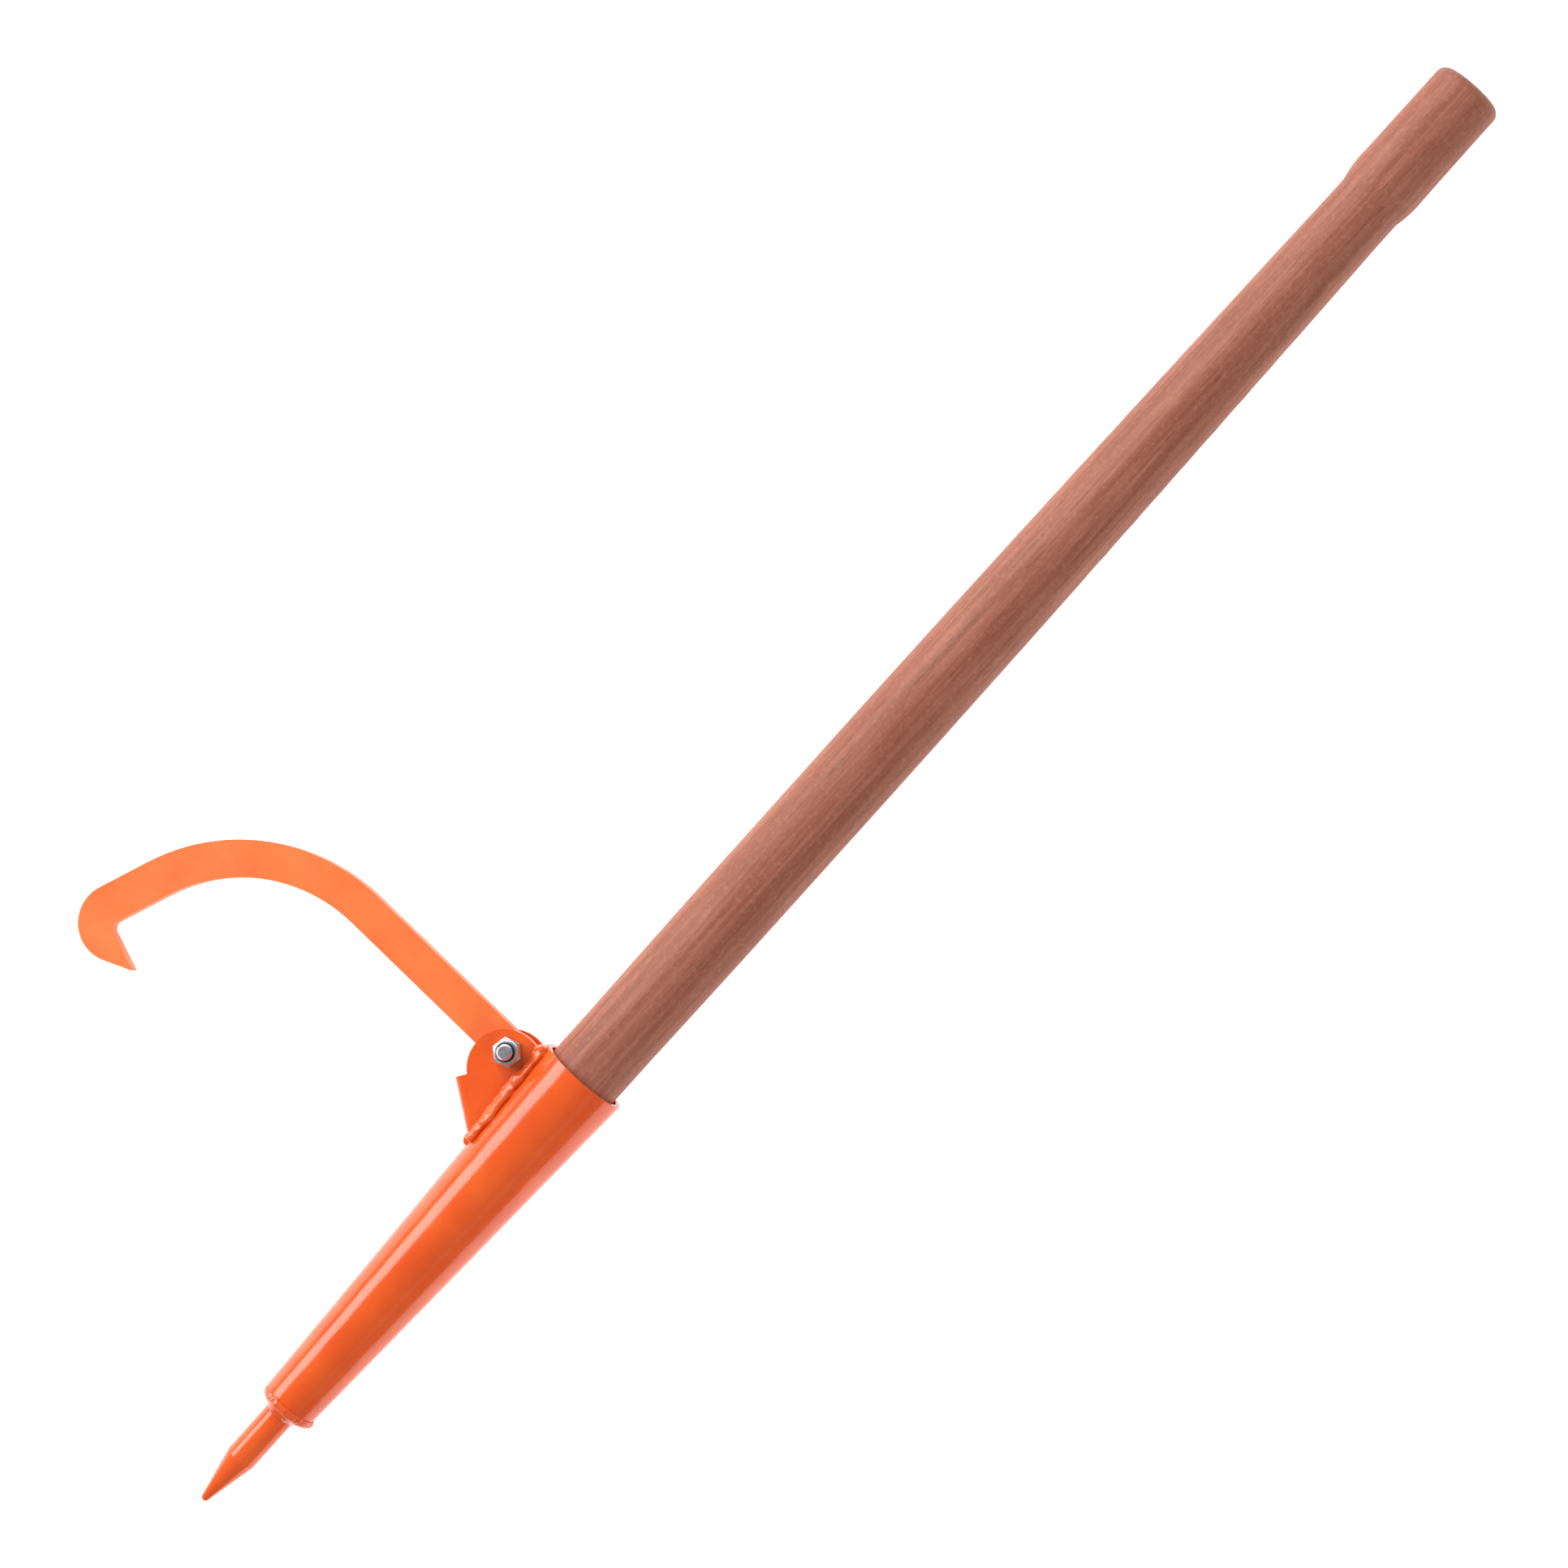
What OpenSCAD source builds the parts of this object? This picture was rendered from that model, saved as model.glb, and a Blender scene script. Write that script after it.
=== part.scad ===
// Peavey: a log-rolling lever with a turned handle, a tapered steel socket that
// ends in a spike, and a hook that swings in a bracket welded to the socket.
//
// Frame (mm): the origin is on the handle's axis, in the plane of the socket's
// mouth. +X runs along the handle towards the grip, +Y points to the hook, and
// the pivot bolt lies along Z with its nut on the +Z side.

/* [Handle] */
// Length of handle that stands out of the socket
handle_out = 633; // [560:1:1100]
// Diameter where the handle leaves the socket
handle_d = 38.2; // [36:0.1:38.8]
// Largest diameter, along the belly of the handle
belly_d = 39.3; // [39:0.1:42]
// Length of the straight belly, which starts 130 mm from the socket
belly_l = 70; // [40:1:100]
// Diameter at the neck, just before the grip
neck_d = 33.4; // [30:0.1:35]
// Diameter of the swelled grip
grip_d = 36.6; // [36:0.1:42]
// Diameter at the end of the grip, before its edge is rounded
grip_end_d = 36.0; // [35:0.1:41]
// Length of the swelled grip, its ramp included
grip_l = 72; // [60:1:160]
// Rounding of the grip's end
grip_round = 5; // [2:0.5:8]
// Depth of the handle's tapered seat inside the socket
seat_l = 186; // [120:1:195]

/* [Socket] */
// Length of the tapered socket
socket_l = 216.5; // [210:0.5:230]
// Outer diameter at the mouth
mouth_d = 45.8; // [45:0.1:48]
// Outer diameter at the small end
small_d = 28.8; // [27:0.1:32]
// Wall thickness of the rolled sheet
wall = 2.5; // [2:0.1:3]
// Thickness of the ring that closes the small end
ring_t = 4.5; // [3.5:0.5:7]

/* [Spike] */
// Diameter of the spike
spike_d = 15.5; // [13:0.1:18]
// Length of the spike beyond the closing ring
spike_out = 59.4; // [50:0.1:90]
// Length of the conical point
point_l = 28; // [20:1:40]
// Length of spike inside the socket
spike_in = 26; // [10:1:28]

/* [Bracket] */
// Thickness of the folded plate
plate_t = 3.2; // [3:0.1:4]
// Clear width between the two ears
ear_gap = 12.5; // [12:0.1:14]
// Outer radius of the fold
fold_r = 4.5; // [4.3:0.1:5.5]
// Radius of the round ears
ear_r = 18.9; // [18:0.1:20]
// Slope of the folded front web, in degrees from the handle's axis
web_slope = 55; // [50:1:60]

/* [Hook] */
// Thickness of the hook
hook_t = 8; // [6:0.5:10]
// Width of the hook along its shank
hook_w = 18.2; // [17:0.1:19]
// Length of the straight shank, from the pivot
shank_l = 101.1; // [80:0.1:130]
// Outer radius of the big bend
bend_outer_r = 102.2; // [98:0.1:110]
// Inner radius of the big bend
bend_inner_r = 82.7; // [80:0.1:86]
// Angle of the big bend
bend_a = 69.9; // [60:0.1:80]
// Angle between the shank and the handle as the hook stands at rest
hook_rest = 89.2; // [80:0.1:100]

/* [Fasteners] */
// Diameter of the pivot bolt
bolt_d = 8; // [8:1:8]
// Length of the pivot bolt under its head
bolt_l = 30; // [30:1:36]
// Radial clearance of the hook on the bolt
bolt_play = 0.08; // [0.05:0.01:0.1]
// Width across the flats of the bolt's head and the nut
hex_af = 13; // [13:0.1:13]
// Height of the self-locking nut
nut_h = 8; // [7.5:0.1:8.5]

/* [Hidden] */
$fn = 96;

orange = [0.93, 0.36, 0.09];
pale_orange = [0.98, 0.50, 0.20];
stained_wood = [0.62, 0.38, 0.31];
zinc = [0.78, 0.79, 0.80];
navy = [0.16, 0.18, 0.27];

eps = 0.01;
pivot = [-15.3, 33.65];                  // bolt axis in the hook's plane
z_ear = ear_gap / 2 + plate_t;           // outer face of each ear
taper = (mouth_d - small_d) / 2 / socket_l;
nose_x = -socket_l - ring_t;             // outer face of the closing ring

function cone_r(x) = mouth_d / 2 + taper * x;           // outside, x <= 0
function bore_r(x) = mouth_d / 2 - wall + taper * x;    // inside

// ---------------------------------------------------------------- helpers

function u(a) = [cos(a), sin(a)];

// n + 1 points along an arc
function arc(c, r, a0, a1, n) = [for (i = [0 : n]) c + r * u(a0 + (a1 - a0) * i / n)];

// revolves a profile of [x, r] points round the X axis
module turned(pts) {
    rotate([0, 90, 0]) rotate_extrude() polygon([for (p = pts) [p[1], p[0]]]);
}

// solid bounded by the outside of the socket, run on a little past the mouth
module socket_outside(run = 8) {
    turned([[-socket_l, 0], [run, 0], [run, cone_r(run)], [-socket_l, cone_r(-socket_l)]]);
}

// things set round the socket: a in degrees from +Y towards +Z
module around(a) {
    rotate([a, 0, 0]) children();
}

// ----------------------------------------------------------------- handle

belly_x = 130;
fall_x = belly_x + belly_l;
grip_x = handle_out - grip_l;            // start of the ramp into the grip
ramp_l = 13;

function rise_d(t) = handle_d + (belly_d - handle_d) * (1 - pow(1 - t, 2));
function fall_d(t) = belly_d - (belly_d - neck_d) * pow(t, 1.7);
function ramp_d(t) = neck_d + (grip_d - neck_d) * sin(90 * t);

function handle_profile() = concat(
    [[-seat_l, 0], [-seat_l, bore_r(-seat_l) - 2.03], [-seat_l + 2, bore_r(-seat_l + 2) - 0.03]],
    [[-36, min(handle_d / 2 - 0.06, bore_r(-36) - 0.03)]],
    [[0, handle_d / 2], [28, handle_d / 2]],
    [for (i = [1 : 8]) let (t = i / 8) [28 + (belly_x - 28) * t, rise_d(t) / 2]],
    [for (i = [0 : 18]) let (t = i / 18) [fall_x + (grip_x - 12 - fall_x) * t, fall_d(t) / 2]],
    [[grip_x, neck_d / 2]],
    [for (i = [1 : 9]) let (t = i / 9) [grip_x + ramp_l * t, ramp_d(t) / 2]],
    [for (i = [0 : 9]) let (a = i * 10)
        [handle_out - 0.4 - grip_round + grip_round * sin(a),
         grip_end_d / 2 - grip_round + grip_round * cos(a)]],
    [[handle_out, 0]]
);

module handle() {
    color(stained_wood)
    difference() {
        turned(handle_profile());
        around(screw_a) translate([screw_x, 0, 0]) rotate([-90, 0, 0])
            translate([0, 0, screw_head_r - screw_l]) cylinder(d = screw_d, h = screw_l);
    }
}

// ----------------------------------------------------------------- socket

screw_a = -120;        // azimuth of the handle's screw, on the hidden side
screw_x = -80;
screw_d = 5;
screw_l = 30;
screw_head_r = cone_r(screw_x + 4.6);    // the head stands on the wall here
seam_a = -45;          // azimuth of the socket's long seam, on the hidden side

module socket() {
    color(orange)
    difference() {
        turned([[-socket_l, bore_r(-socket_l)], [0, bore_r(0)],
                [0, cone_r(0)], [-socket_l, cone_r(-socket_l)]]);
        around(screw_a) translate([screw_x, 0, 0]) rotate([-90, 0, 0])
            cylinder(d = screw_d + 0.3, h = 40);
    }
}

// flat bead that closes the rolled sheet along one side
module seam_weld() {
    bead_r = 2.4;
    sink = 1.7;
    color(orange)
    difference() {
        $fn = 300;
        around(seam_a)
            translate([-4, cone_r(-4) - sink, 0])
                rotate([0, 0, atan(taper)])
                    rotate([0, -90, 0]) cylinder(r = bead_r, h = socket_l - 10);
        socket_outside();
    }
}

ring_r = cone_r(-socket_l);
ring_e = min(4, ring_t - 0.4);           // rounding of the ring's edge
// the rounded edge as [x, r] points, from the face out to the side
ring_edge = [for (i = [0 : 10]) let (a = 9 * i)
    [nose_x + ring_e - ring_e * cos(a), ring_r - ring_e + ring_e * sin(a)]];

// turned ring that closes the small end; its spigot sits in the socket
module closing_ring() {
    ri = bore_r(-socket_l) - 0.05;
    color(orange)
    turned(concat(
        [[nose_x, spigot_r]],
        ring_edge,
        [[-socket_l, ring_r], [-socket_l, ri], [-socket_l + 5, ri],
         [-socket_l + 5, spigot_r]]));
}

// bead that joins ring and socket; it stands proud on the side away from the hook
module nose_weld() {
    color(orange)
    rotate([0, 90, 0]) rotate([0, 0, -215])
        rotate_extrude(angle = 250)
            polygon([for (p = concat(
                [for (i = [5 : 10]) ring_edge[i]],
                [[-socket_l, ring_r], [-socket_l + 1.6, cone_r(-socket_l + 1.6)],
                 [-socket_l + 0.9, ring_r + 0.8], [-socket_l - 0.2, ring_r + 1.1],
                 [-socket_l - 1.4, ring_r + 0.95], [-socket_l - 2.5, ring_r + 0.2],
                 [-socket_l - 3.1, ring_r - 0.8]])) [p[1], p[0]]]);
}

// ------------------------------------------------------------------ spike

weld_leg = 2.8;                          // fillet round the spike's root
spigot_r = spike_d / 2 - 0.5;            // the spike is turned down where it seats in the ring

module spike() {
    tip_x = nose_x - spike_out;
    r = spike_d / 2;
    tip_r = 1.95;
    color(orange)
    turned(concat(
        [[nose_x + spike_in, 0], [nose_x + spike_in, spigot_r - 1],
         [nose_x + spike_in - 1, spigot_r]],
        [[nose_x - weld_leg, spigot_r], [nose_x - weld_leg, r], [tip_x + point_l, r]],
        [for (i = [0 : 8]) let (a = 13 + i * 77 / 8)
            [tip_x + 1.8 - 1.8 * sin(a), tip_r * cos(a) / cos(13)]]
    ));
}

// fillet round the root of the spike
module spike_weld() {
    r = spike_d / 2;
    leg = weld_leg;
    color(orange)
    rotate([0, 90, 0]) rotate_extrude()
        difference() {
            translate([spigot_r, nose_x - leg]) square([r + leg - spigot_r, leg]);
            translate([r + leg * 1.5, nose_x - leg * 1.5]) circle(r = leg * 1.581);
        }
}

// round-headed screw that pins the handle in the socket
module socket_screw() {
    color(zinc)
    around(screw_a) translate([screw_x, 0, 0]) rotate([-90, 0, 0])
    translate([0, 0, screw_head_r])
        difference() {
            union() {
                rotate_extrude() polygon([
                    [0, -screw_l], [1.2, -screw_l + 3], [screw_d / 2, -screw_l + 8],
                    [screw_d / 2, 0], [4.6, 0], [4.6, 0.9],
                    [4.1, 2.0], [3.0, 2.7], [1.4, 3.0], [0, 3.0]]);
            }
            for (a = [0, 90]) rotate([0, 0, a])
                translate([-2.4, -0.5, 1.6]) cube([4.8, 1, 3]);
        }
}

// ---------------------------------------------------------------- bracket

ear_c = [-22.5, 29.9];                   // centre of the round ears
web_top = [-42.8, 45.6];                 // upper outer corner of the web
across = [sin(web_slope), -cos(web_slope)];

// cross-section of the folded plate: x runs into the bracket, y along Z
module fold_profile() {
    ri = fold_r - plate_t;
    zo = z_ear - fold_r;
    polygon(concat(
        [[75, -z_ear]],
        arc([fold_r, -zo], fold_r, 270, 180, 9),
        arc([fold_r, zo], fold_r, 180, 90, 9),
        [[75, z_ear], [75, ear_gap / 2]],
        arc([fold_r, zo], ri, 90, 180, 5),
        arc([fold_r, -zo], ri, 180, 270, 5),
        [[75, -ear_gap / 2]]));
}

// outline of the bracket seen along the bolt
ear_a0 = -24;          // the ear's rear edge drops straight down from here
ear_a1 = 140.7;        // the notch between ear and web
module ear_outline() {
    polygon(concat(
        arc(ear_c, ear_r, ear_a0, ear_a1, 36),
        [web_top, web_top - 6 * across, [-75, 22], [-75, 8],
         [(ear_c + ear_r * u(ear_a0))[0], 8]]));
}

module hook_bracket() {
    color(orange)
    difference() {
        intersection() {
            translate([web_top[0], web_top[1], 0])
                rotate([90, 0, web_slope - 90])
                    translate([0, 0, -25]) linear_extrude(height = 90) fold_profile();
            translate([0, 0, -20]) linear_extrude(height = 40) ear_outline();
        }
        socket_outside();
        translate([pivot[0], pivot[1], -20]) cylinder(d = bolt_d + 0.2, h = 40);
    }
}

// one side's fillet weld, wrapped round the rear edge of the ear
ear_rear = (ear_c + ear_r * u(ear_a0))[0];
module side_weld() {
    x1 = ear_rear + 0.2;
    x2 = -59.5;
    y1 = sqrt(pow(cone_r(x1), 2) - pow(z_ear, 2));
    y2 = sqrt(pow(cone_r(x2), 2) - pow(z_ear, 2));
    run = norm([x1 - x2, y1 - y2]);
    difference() {
        union() {
            // along the foot of the ear: x is height up the ear, y is out from it
            translate([x2, y2, z_ear]) rotate([0, 0, atan((y1 - y2) / (x1 - x2))])
                rotate([0, 90, 0]) rotate([0, 0, 90])
                    linear_extrude(height = run)
                        polygon(concat([[-4, 0]], arc([-0.6, -0.9], 4.3, 78, -42, 8), [[-6, 1]]));
            // round the rear edge
            translate([ear_rear, y1, 5.8])
                linear_extrude(height = z_ear + 2.2 - 5.8)
                    polygon(concat([[0, -3]], arc([-0.6, 0.2], 4.4, -8, 82, 8)));
        }
        socket_outside();
    }
}

module bracket_weld_near() {
    color(orange) side_weld();
}

module bracket_weld_far() {
    color(orange) mirror([0, 0, 1]) side_weld();
}

// short bead across the foot of the web
module bracket_weld_front() {
    // where the web's outer face meets the top of the socket
    k = (web_top[1] - cone_r(-60)) / sin(web_slope);
    foot = web_top - k * u(web_slope);
    color(orange)
    difference() {
        translate([foot[0], foot[1], -5])
            linear_extrude(height = 10)
                polygon(concat([[0, -3]], [2.6 * u(web_slope)],
                               arc([0, -0.6], 2.9, 85, 190, 7)));
        socket_outside();
        translate([web_top[0], web_top[1], 0]) rotate([0, 0, web_slope - 90])
            translate([0, -60, -20]) cube([60, 90, 40]);
    }
}

// ------------------------------------------------------------------- hook

corner_r = 19.5;
straight_l = 27.5;
tip_out_a = 203.7;     // direction of the outward normal of the tip's back
tip_l = 16.2;
corner_fillet = 4;

c_outer = [hook_w / 2 - bend_outer_r, shank_l];
c_inner = [-hook_w / 2 - bend_inner_r, shank_l];
e_outer = c_outer + bend_outer_r * u(bend_a);
e_inner = c_inner + bend_inner_r * u(bend_a);
t_in = e_outer + straight_l * u(bend_a + 90);
c_corner = t_in - corner_r * u(bend_a);
t_out = c_corner + corner_r * u(tip_out_a);
tip = t_out + tip_l * u(tip_out_a + 90);
heel = e_inner + (straight_l + 4.7) * u(bend_a + 90);
tip_dir = (tip - heel) / norm(tip - heel);
// fillet in the inner corner, between the straight end and the tip
in_dir = u(bend_a - 90);
half_a = acos(in_dir * tip_dir) / 2;
c_fillet = heel + corner_fillet / sin(half_a) * (in_dir + tip_dir) / norm(in_dir + tip_dir);
fillet_a0 = atan2(tip_dir[1], tip_dir[0]) - 90;
fillet_a1 = bend_a;

module hook_outline() {
    polygon(concat(
        arc([0, 0], hook_w / 2, 180, 360, 24),
        arc(c_outer, bend_outer_r, 0, bend_a, 24),
        arc(c_corner, corner_r, bend_a, tip_out_a, 24),
        [tip - 0.8 * u(tip_out_a + 90), tip - 0.8 * tip_dir],
        arc(c_fillet, corner_fillet, fillet_a0 + 360, fillet_a1, 10),
        arc(c_inner, bend_inner_r, bend_a, 0, 24)));
}

module hook() {
    color(pale_orange)
    translate([pivot[0], pivot[1], -hook_t / 2]) rotate([0, 0, hook_rest - 90])
        difference() {
            linear_extrude(height = hook_t) hook_outline();
            translate([0, 0, -1]) cylinder(r = bolt_d / 2 + bolt_play, h = hook_t + 2);
        }
}

// -------------------------------------------------------------- fasteners

hex_r = hex_af / 2 / cos(30);

// hexagon with both faces chamfered at 30 degrees
module hex_body(h, top = true) {
    c = hex_r - hex_af / 2 * 0.97;
    intersection() {
        cylinder(r = hex_r, h = h, $fn = 6);
        rotate_extrude() polygon([
            [0, 0], [hex_r - c, 0], [hex_r, c * tan(30)],
            [hex_r, h - (top ? c * tan(30) : 0)], [hex_r - (top ? c : 0), h], [0, h]]);
    }
}

module pivot_bolt() {
    color(zinc)
    translate([pivot[0], pivot[1], 0])
        union() {
            translate([0, 0, -z_ear]) mirror([0, 0, 1]) rotate([0, 0, 12]) hex_body(5.3);
            translate([0, 0, -z_ear - 1]) cylinder(d = bolt_d, h = bolt_l + 1 - 1.1);
            translate([0, 0, -z_ear + bolt_l - 1.1])
                cylinder(d1 = bolt_d, d2 = bolt_d - 2, h = 1.1);
        }
}

nut_hex_h = nut_h - 2.3;

module lock_nut() {
    color(zinc)
    translate([pivot[0], pivot[1], z_ear])
        difference() {
            union() {
                rotate([0, 0, 48]) hex_body(nut_hex_h);
                rotate_extrude() polygon([
                    [0, 1], [6.2, 1], [6.2, nut_hex_h], [6.15, nut_h - 1.0],
                    [5.85, nut_h - 0.3], [5.4, nut_h], [0, nut_h]]);
            }
            translate([0, 0, -1]) cylinder(d = bolt_d, h = nut_h + 2);
            // seat of the locking ring
            translate([0, 0, nut_hex_h - 0.4]) cylinder(d = 10.2, h = 1.9);
            translate([0, 0, nut_hex_h]) cylinder(d = 9.6, h = 5);
        }
}

module nut_insert() {
    color(navy)
    translate([pivot[0], pivot[1], z_ear])
        difference() {
            translate([0, 0, nut_hex_h - 0.4]) cylinder(d = 10.2, h = 1.9);
            translate([0, 0, -1]) cylinder(d = bolt_d, h = nut_h + 2);
        }
}

handle();
socket();
seam_weld();
closing_ring();
nose_weld();
spike();
spike_weld();
socket_screw();
hook_bracket();
bracket_weld_near();
bracket_weld_far();
bracket_weld_front();
hook();
pivot_bolt();
lock_nut();
nut_insert();
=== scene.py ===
import math

import bmesh
import bpy
from mathutils import Matrix, Vector

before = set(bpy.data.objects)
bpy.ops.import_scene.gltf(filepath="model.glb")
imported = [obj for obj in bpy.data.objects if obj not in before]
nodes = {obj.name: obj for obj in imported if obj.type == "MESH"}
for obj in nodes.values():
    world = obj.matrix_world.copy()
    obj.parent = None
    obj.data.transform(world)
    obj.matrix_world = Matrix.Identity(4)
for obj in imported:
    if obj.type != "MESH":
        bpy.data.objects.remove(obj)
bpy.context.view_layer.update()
scene = bpy.context.scene
scene.view_settings.view_transform = "Standard"
scene.view_settings.look = "None"


def srgb(r, g, b):
    """An sRGB colour given as 0-255 values, as linear RGBA."""
    out = []
    for c in (r, g, b):
        c /= 255.0
        out.append(c / 12.92 if c <= 0.04045 else ((c + 0.055) / 1.055) ** 2.4)
    return (*out, 1.0)


# ------------------------------------------------------------------ camera
# Orientation and place in the tool's frame, found from the mouth of the
# socket, both ends of the tool and the bolt's end.
cam_pos = Vector((0.320, -0.290, 2.060))
back = Vector((0.0730685, -0.1517534, 1.0)).normalized()
roll = 0.000147313
r0 = Vector((0.669, -0.743, 0.0)).normalized()
u0 = Vector((0.743, 0.669, 0.0)).normalized()
right = r0 * math.cos(roll) + u0 * math.sin(roll)
right = (right - back * right.dot(back)).normalized()
up = back.cross(right)
cam_data = bpy.data.cameras.new("camera")
cam_data.sensor_fit = "HORIZONTAL"
cam_data.sensor_width = 36.0
cam_data.lens = 36.0 * 5352.17 / 1932.0
cam_data.clip_start = 0.05
cam_data.clip_end = 30.0
camera = bpy.data.objects.new("camera", cam_data)
scene.collection.objects.link(camera)
rot = Matrix((right, up, back)).transposed().to_4x4()
camera.matrix_world = Matrix.Translation(cam_pos) @ rot
scene.camera = camera

# --------------------------------------------------------------- materials


class Mat:
    """A small helper round one material's node tree."""

    def __init__(self, name):
        self.m = bpy.data.materials.new(name)
        self.m.use_nodes = True
        self.t = self.m.node_tree
        self.t.nodes.clear()
        self.out = self.t.nodes.new("ShaderNodeOutputMaterial")
        self.b = self.t.nodes.new("ShaderNodeBsdfPrincipled")
        self.t.links.new(self.b.outputs[0], self.out.inputs[0])
        self.co = self.t.nodes.new("ShaderNodeTexCoord").outputs["Object"]

    def link(self, a, b):
        self.t.links.new(a, b)
        return b

    def mapped(self, scale, rotation=(0, 0, 0)):
        n = self.t.nodes.new("ShaderNodeMapping")
        n.inputs["Scale"].default_value = scale
        n.inputs["Rotation"].default_value = rotation
        self.link(self.co, n.inputs["Vector"])
        return n.outputs[0]

    def noise(self, vec, scale, detail=3.0, rough=0.55, distort=0.0):
        n = self.t.nodes.new("ShaderNodeTexNoise")
        n.inputs["Scale"].default_value = scale
        n.inputs["Detail"].default_value = detail
        n.inputs["Roughness"].default_value = rough
        n.inputs["Distortion"].default_value = distort
        self.link(vec, n.inputs["Vector"])
        return n.outputs["Fac"]

    def ramp(self, fac, *stops):
        n = self.t.nodes.new("ShaderNodeValToRGB")
        e = n.color_ramp.elements
        while len(e) < len(stops):
            e.new(0.5)
        for el, (p, c) in zip(e, stops):
            el.position = p
            el.color = c if isinstance(c, tuple) else (c, c, c, 1.0)
        self.link(fac, n.inputs["Fac"])
        return n.outputs["Color"]

    def mix(self, a, b, fac, mode="MIX"):
        n = self.t.nodes.new("ShaderNodeMix")
        n.data_type = "RGBA"
        n.blend_type = mode
        n.clamp_factor = True
        for sock, v in ((n.inputs[0], fac), (n.inputs[6], a), (n.inputs[7], b)):
            if isinstance(v, (int, float, tuple)):
                sock.default_value = v
            else:
                self.link(v, sock)
        return n.outputs[2]

    def math(self, op, a, b):
        n = self.t.nodes.new("ShaderNodeMath")
        n.operation = op
        for sock, v in zip(n.inputs, (a, b)):
            if isinstance(v, (int, float)):
                sock.default_value = v
            else:
                self.link(v, sock)
        return n.outputs[0]

    def bump(self, height, strength, distance):
        n = self.t.nodes.new("ShaderNodeBump")
        n.inputs["Strength"].default_value = strength
        n.inputs["Distance"].default_value = distance
        self.link(height, n.inputs["Height"])
        self.link(n.outputs[0], self.b.inputs["Normal"])

    def set(self, **kw):
        for k, v in kw.items():
            self.b.inputs[k.replace("_", " ")].default_value = v


def powder_coat(name, low, mid, high, rough_low, rough_high, coat, peel):
    """Baked powder coat: slow colour drift, orange peel and fine dust in the gloss."""
    m = Mat(name)
    slow = m.noise(m.co, 38.0, 4.0, 0.6)
    col = m.ramp(slow, (0.30, low), (0.52, mid), (0.74, high))
    speck = m.ramp(m.noise(m.co, 900.0, 2.0), (0.66, 0.0), (0.78, 1.0))
    col = m.mix(col, low, m.math("MULTIPLY", speck, 0.10))
    m.link(col, m.b.inputs["Base Color"])
    gl = m.ramp(m.noise(m.co, 160.0, 4.0, 0.6), (0.35, rough_low), (0.70, rough_high))
    m.link(gl, m.b.inputs["Roughness"])
    h = m.math("ADD", m.math("MULTIPLY", m.noise(m.co, 420.0, 2.0, 0.5), 1.0),
               m.math("MULTIPLY", m.noise(m.co, 1500.0, 1.0, 0.5), 0.25))
    m.bump(h, peel, 0.0004)
    m.set(Coat_Weight=coat, Coat_Roughness=0.05, IOR=1.5)
    return m.m


paint = powder_coat("orange_paint", srgb(233, 84, 22), srgb(240, 92, 26), srgb(246, 102, 34),
                    0.14, 0.22, 0.32, 0.018)
weld_paint = powder_coat("weld_paint", srgb(228, 84, 26), srgb(240, 98, 34), srgb(248, 116, 48),
                         0.18, 0.28, 0.45, 0.05)
# Hook's satin coat: the higher roughness is the real satin finish, but the base colour paler than the socket's
# orange is painted sheen, the broad softbox highlight on the flat face put into the colour.
hook_paint = powder_coat("hook_paint", srgb(243, 112, 48), srgb(248, 121, 56), srgb(251, 130, 64),
                         0.40, 0.52, 0.10, 0.05)

# stained wood: fine pores and streaks along the handle, slow drift of the stain
wood = Mat("stained_wood")
streak = wood.noise(wood.mapped((9.0, 260.0, 260.0)), 1.0, 5.0, 0.62, 0.4)
pores = wood.noise(wood.mapped((70.0, 1500.0, 1500.0)), 1.0, 2.0, 0.5)
drift = wood.noise(wood.mapped((14.0, 30.0, 30.0)), 1.0, 3.0, 0.6)
mottle = wood.noise(wood.co, 420.0, 3.0, 0.6)
col = wood.ramp(streak, (0.25, srgb(138, 80, 60)), (0.48, srgb(164, 100, 79)), (0.72, srgb(188, 124, 101)))
col = wood.mix(col, srgb(150, 84, 64), wood.ramp(drift, (0.40, 0.0), (0.70, 0.55)))
col = wood.mix(col, srgb(208, 150, 130), wood.math("MULTIPLY", wood.ramp(mottle, (0.50, 0.0), (0.72, 1.0)), 0.22))
col = wood.mix(col, srgb(96, 50, 38), wood.math("MULTIPLY", wood.ramp(pores, (0.60, 0.0), (0.72, 1.0)), 0.45))
wood.link(col, wood.b.inputs["Base Color"])
wood.link(wood.ramp(streak, (0.3, 0.46), (0.7, 0.60)), wood.b.inputs["Roughness"])
wood.bump(wood.math("SUBTRACT", wood.math("MULTIPLY", streak, 0.5), wood.math("MULTIPLY", pores, 0.5)), 0.22, 0.0006)
wood.set(Coat_Weight=0.04, Coat_Roughness=0.35, IOR=1.46, Specular_IOR_Level=0.3)

# bright zinc plate
zinc = Mat("zinc_steel")
cloud = zinc.noise(zinc.co, 300.0, 4.0, 0.6)
zinc.link(zinc.ramp(cloud, (0.3, srgb(196, 199, 206)), (0.7, srgb(232, 233, 236))), zinc.b.inputs["Base Color"])
zinc.link(zinc.ramp(zinc.noise(zinc.co, 900.0, 3.0), (0.3, 0.20), (0.7, 0.34)), zinc.b.inputs["Roughness"])
zinc.bump(zinc.noise(zinc.co, 1400.0, 3.0), 0.06, 0.0003)
zinc.set(Metallic=1.0)

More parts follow.
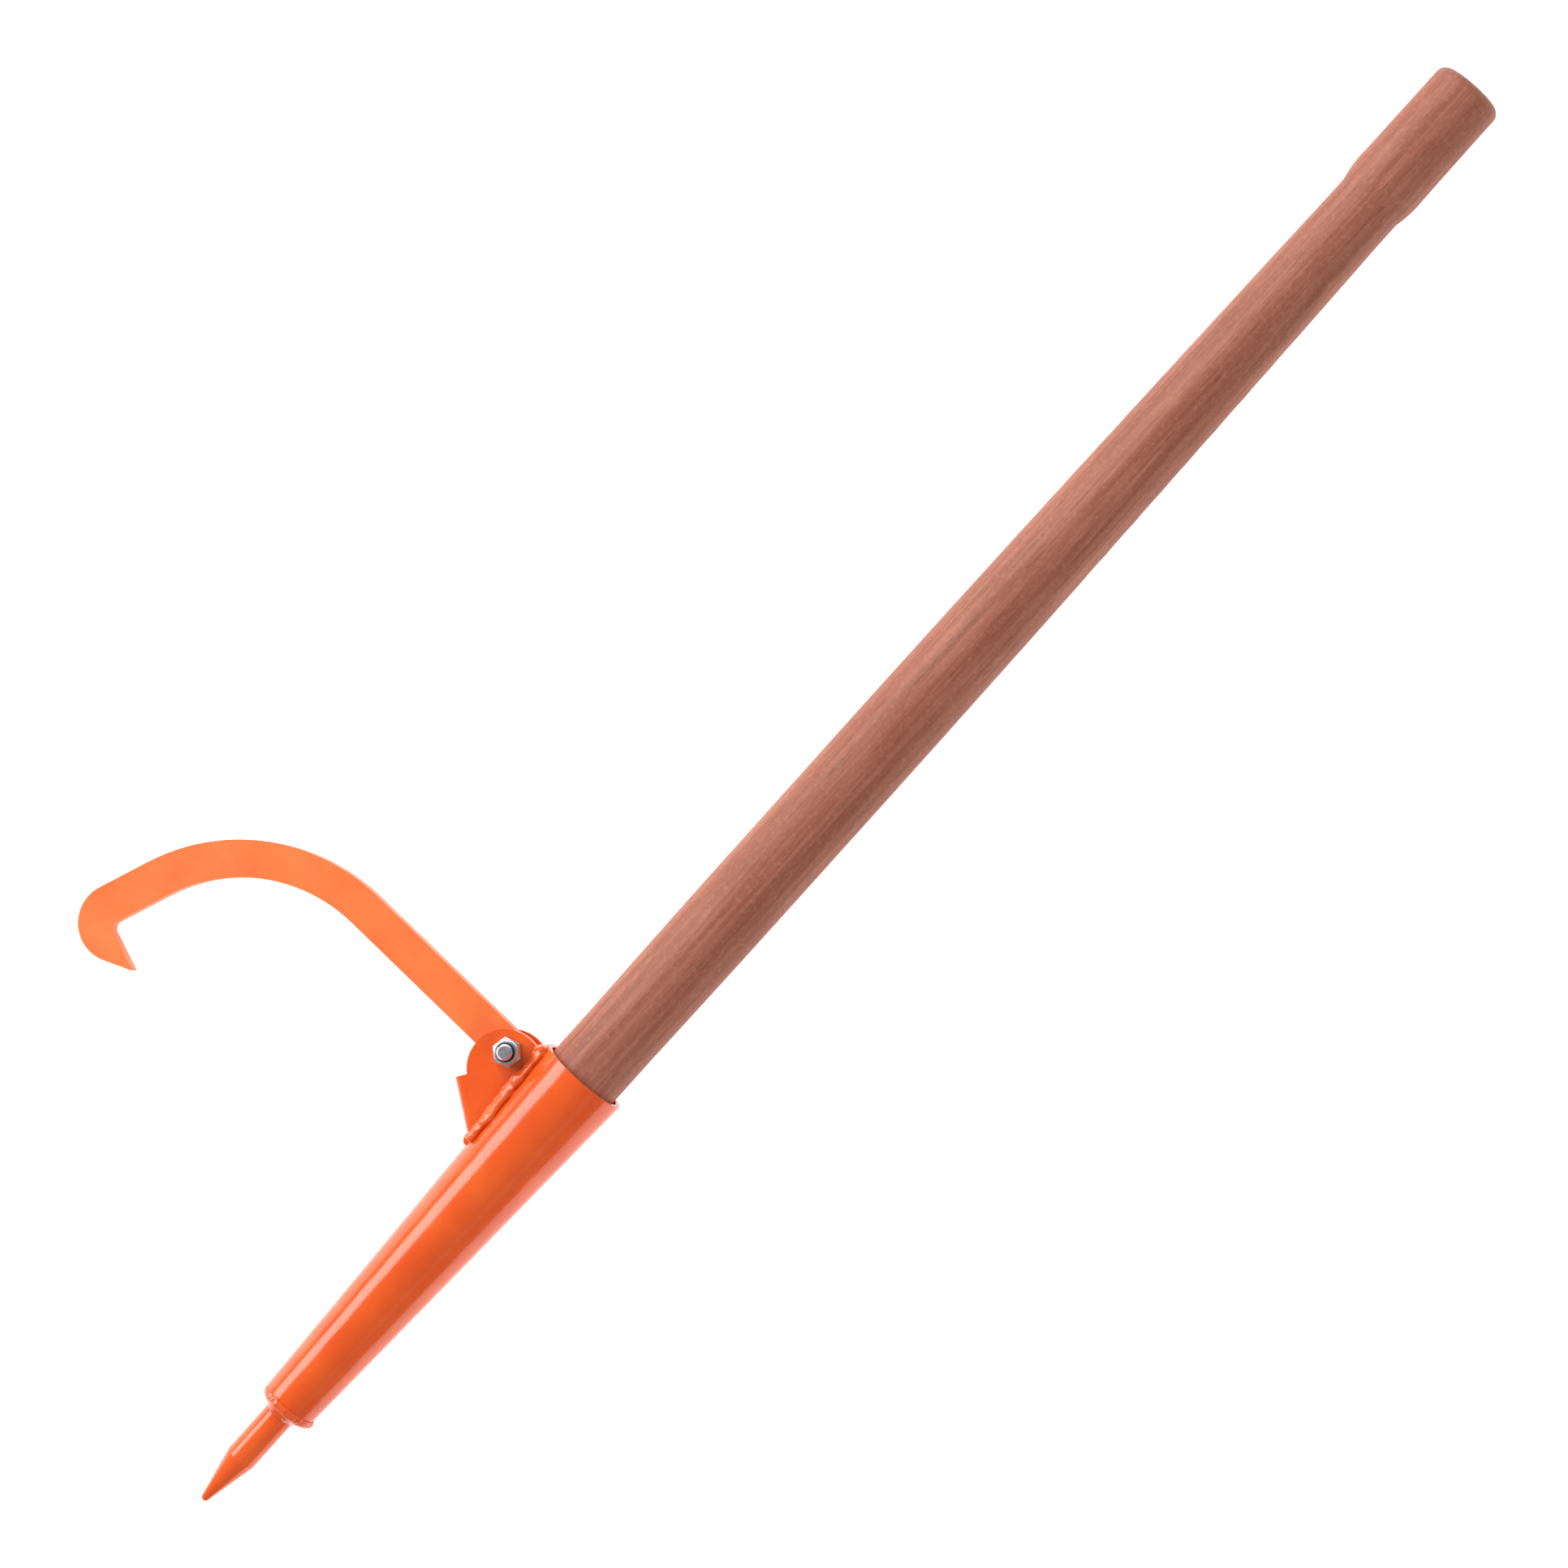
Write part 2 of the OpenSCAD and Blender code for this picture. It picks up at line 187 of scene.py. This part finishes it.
nylon = Mat("nylon")
nylon.link(nylon.ramp(nylon.noise(nylon.co, 700.0, 3.0), (0.3, srgb(26, 30, 58)), (0.7, srgb(44, 50, 86))),
           nylon.b.inputs["Base Color"])
nylon.link(nylon.ramp(nylon.noise(nylon.co, 500.0, 2.0), (0.3, 0.38), (0.7, 0.52)), nylon.b.inputs["Roughness"])
nylon.bump(nylon.noise(nylon.co, 1200.0, 2.0), 0.05, 0.0003)

looks = {
    "handle": wood.m, "socket": paint, "seam_weld": weld_paint, "closing_ring": paint,
    "nose_weld": weld_paint, "spike": paint, "spike_weld": weld_paint, "socket_screw": zinc.m,
    "hook_bracket": paint, "bracket_weld_near": weld_paint, "bracket_weld_far": weld_paint,
    "bracket_weld_front": weld_paint, "hook": hook_paint, "pivot_bolt": zinc.m,
    "lock_nut": zinc.m, "nut_insert": nylon.m,
}
for name, mat in looks.items():
    o = nodes[name]
    if not o.material_slots:
        o.data.materials.append(mat)
    for s in o.material_slots:
        s.material = mat

# ------------------------------------------------- edges and weld surfaces


def soften(name, width, segments=3, angle=35.0, flat=False):
    """Rounds a node's sharp edges as its coating does."""
    o = nodes[name]
    w = o.modifiers.new("weld", "WELD")
    w.merge_threshold = 2e-6
    if flat:
        f = o.modifiers.new("faces", "DECIMATE")
        f.decimate_type = "DISSOLVE"
        f.angle_limit = math.radians(0.3)
    b = o.modifiers.new("bevel", "BEVEL")
    b.width = width
    b.segments = segments
    b.limit_method = "ANGLE"
    b.angle_limit = math.radians(angle)
    b.miter_outer = "MITER_ARC"
    b.use_clamp_overlap = True
    n = o.modifiers.new("normals", "WEIGHTED_NORMAL")
    n.mode = "FACE_AREA"
    n.weight = 90
    n.thresh = 0.01


soften("hook", 0.0010, flat=True)
soften("hook_bracket", 0.0009, flat=True)
soften("socket", 0.0005)
soften("socket_screw", 0.0001, 2)
soften("lock_nut", 0.00015, 2)
soften("pivot_bolt", 0.00015, 2)


def beads(name, voxel, size, strength):
    """Turns a smooth weld solid into overlapping lumps."""
    o = nodes[name]
    r = o.modifiers.new("remesh", "REMESH")
    r.mode = "VOXEL"
    r.voxel_size = voxel
    r.use_smooth_shade = True
    tex = bpy.data.textures.new(name + "_lumps", "CLOUDS")
    tex.noise_scale = size
    tex.noise_depth = 1
    tex.noise_basis = "VORONOI_F1"
    d = o.modifiers.new("lumps", "DISPLACE")
    d.texture = tex
    d.texture_coords = "LOCAL"
    d.strength = strength
    d.mid_level = 0.35
    sm = o.modifiers.new("smooth", "SMOOTH")
    sm.factor = 0.5
    sm.iterations = 2


beads("bracket_weld_near", 0.00035, 0.0090, 0.0036)
beads("bracket_weld_far", 0.00035, 0.0090, 0.0036)
beads("bracket_weld_front", 0.00030, 0.0070, 0.0024)
beads("nose_weld", 0.00035, 0.0034, 0.0010)
beads("seam_weld", 0.00035, 0.0030, 0.0006)
beads("spike_weld", 0.00035, 0.0030, 0.0007)

# ------------------------------------------------------------------- stage
# The tool lies on the mouth's rim, the grip's end and the hook's back edge.
floor_n = Vector((-0.007873, -0.081272, 0.996661)).normalized()
floor_p = Vector((0.0, 0.0, -0.022975))
mesh = bpy.data.meshes.new("floor")
bm = bmesh.new()
q = Vector((0, 0, 1)).rotation_difference(floor_n).to_matrix()
c0 = floor_p + q @ Vector((0.15, 0.0, 0.0))
vs = [bm.verts.new(c0 + q @ Vector((x, y, 0))) for x, y in ((-6, -6), (6, -6), (6, 6), (-6, 6))]
bm.faces.new(vs)
bm.to_mesh(mesh)
bm.free()
floor = bpy.data.objects.new("floor", mesh)
scene.collection.objects.link(floor)
fm = Mat("floor")
fm.link(fm.ramp(fm.noise(fm.co, 3.0), (0.3, (0.90, 0.90, 0.90, 1.0)), (0.7, (0.92, 0.92, 0.92, 1.0))),
        fm.b.inputs["Base Color"])
fm.set(Roughness=0.9, Specular_IOR_Level=0.1, Emission_Color=(1, 1, 1, 1), Emission_Strength=0.68)
mesh.materials.append(fm.m)

world = bpy.data.worlds.new("world")
world.use_nodes = True
world.node_tree.nodes["Background"].inputs[0].default_value = (1, 1, 1, 1)
world.node_tree.nodes["Background"].inputs[1].default_value = 0.30
scene.world = world


def softbox(name, place, aim, size_x, size_y, power, along=(1, 0, 0), glossy=True):
    d = bpy.data.lights.new(name, "AREA")
    d.shape = "RECTANGLE"
    d.size = size_x
    d.size_y = size_y
    d.energy = power
    o = bpy.data.objects.new(name, d)
    scene.collection.objects.link(o)
    z = (Vector(place) - Vector(aim)).normalized()
    x = Vector(along)
    x = (x - z * x.dot(z)).normalized()
    y = z.cross(x)
    m = Matrix((x, y, z)).transposed().to_4x4()
    m.translation = Vector(place)
    o.matrix_world = m
    o.visible_glossy = glossy


softbox("key", (0.15, 1.65, 1.20), (0.15, 0, 0), 3.2, 1.10, 58.0)
softbox("fill", (0.15, -1.9, 1.3), (0.15, 0, 0), 3.2, 0.5, 22.0, glossy=False)
